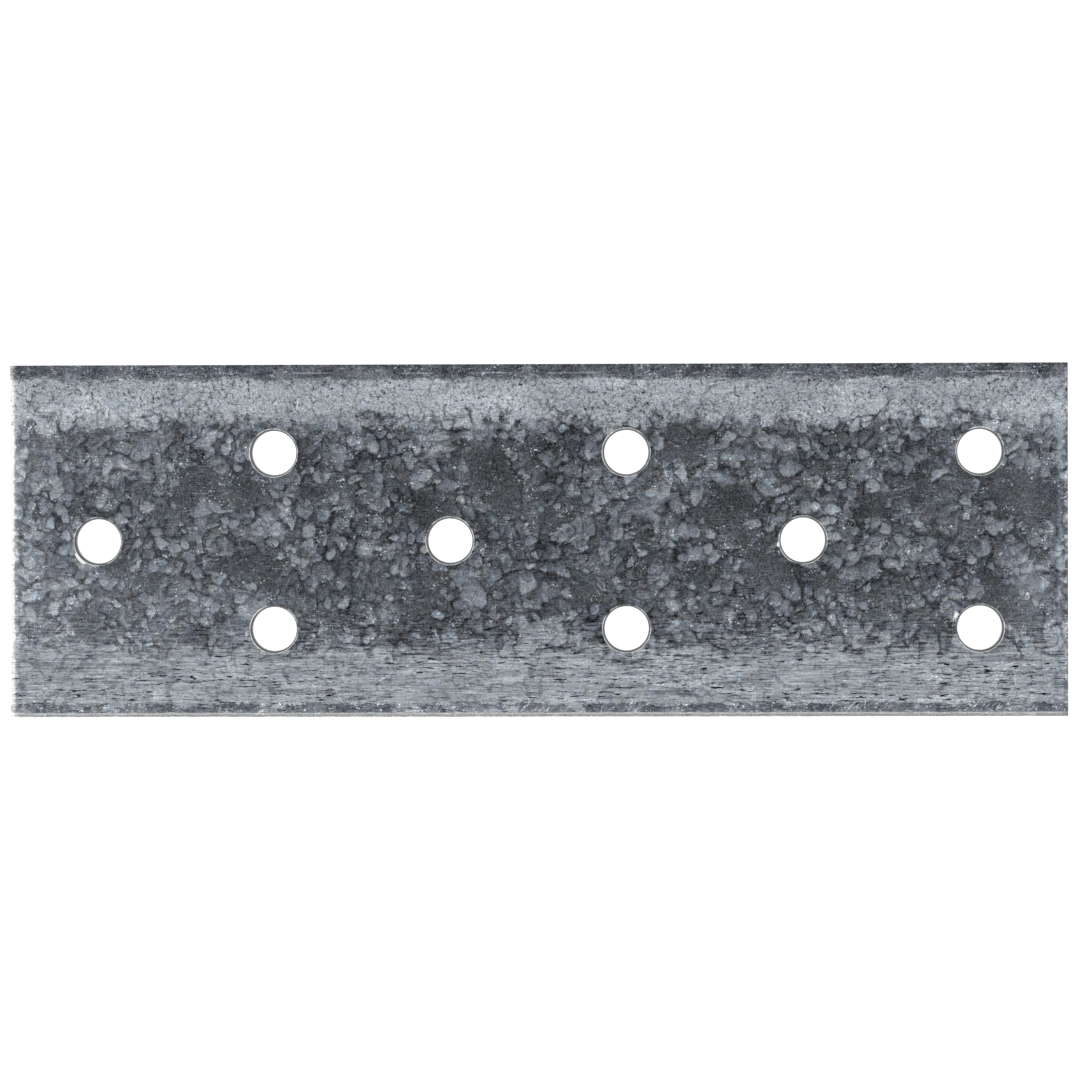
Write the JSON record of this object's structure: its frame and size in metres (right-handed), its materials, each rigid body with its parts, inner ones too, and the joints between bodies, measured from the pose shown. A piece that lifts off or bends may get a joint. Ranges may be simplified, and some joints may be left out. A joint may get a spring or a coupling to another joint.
{
  "type": "mending plate",
  "caption": "Flat galvanised steel strip punched with a zigzag of nail holes, for joining or mending timbers laid end to end.",
  "frame": {"origin": "middle of the underside, where the plate lies on the timber", "axes": "+X along the plate, from the end with one hole to the end with a pair; +Y across it; +Z out of the upper face, where the punch came out"},
  "size_m": [0.12, 0.04, 0.002],
  "materials": {
    "galvanised_steel": "hot-dip galvanised, grey-blue spangle, dull, rolled lighter along both long edges"
  },
  "bodies": {
    "root": {"plate": "galvanised_steel"}
  },
  "joints": []
}
